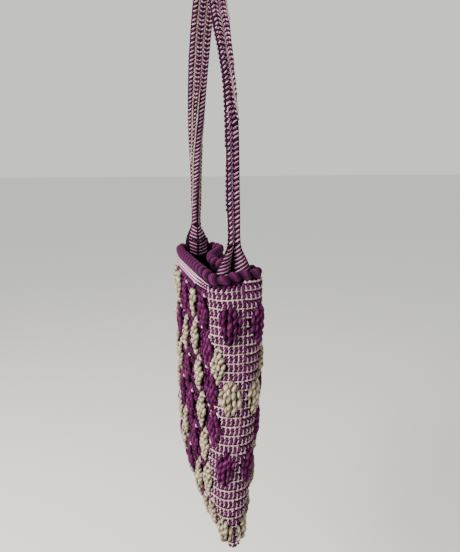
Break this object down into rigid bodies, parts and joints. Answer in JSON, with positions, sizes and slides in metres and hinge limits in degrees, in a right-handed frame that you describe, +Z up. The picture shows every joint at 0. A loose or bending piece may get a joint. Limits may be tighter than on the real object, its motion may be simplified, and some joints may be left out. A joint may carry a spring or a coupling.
{
  "type": "pouch",
  "caption": "Soft hand-worked pouch with raised lozenges, an open mouth with a wrapped rim and a long woven shoulder strap to hang it by.",
  "frame": {"origin": "middle of the underside of the strap where it hangs", "axes": "+Z up, the mouth's long side along X, the front of the pouch towards -Y"},
  "size_m": [0.187, 0.0765, 0.6065],
  "materials": {
    "panel_weave": "worked wool and cotton yarn, purple ground with beige rows and raised roving",
    "rim_roving": "thick purple wool roving wrapped over the edge",
    "strap_band": "tight woven band in purple with pale pink strokes"
  },
  "bodies": {
    "root": {"front_panel": "panel_weave", "back_panel": "panel_weave", "rim": "rim_roving", "strap": "strap_band"}
  },
  "joints": []
}
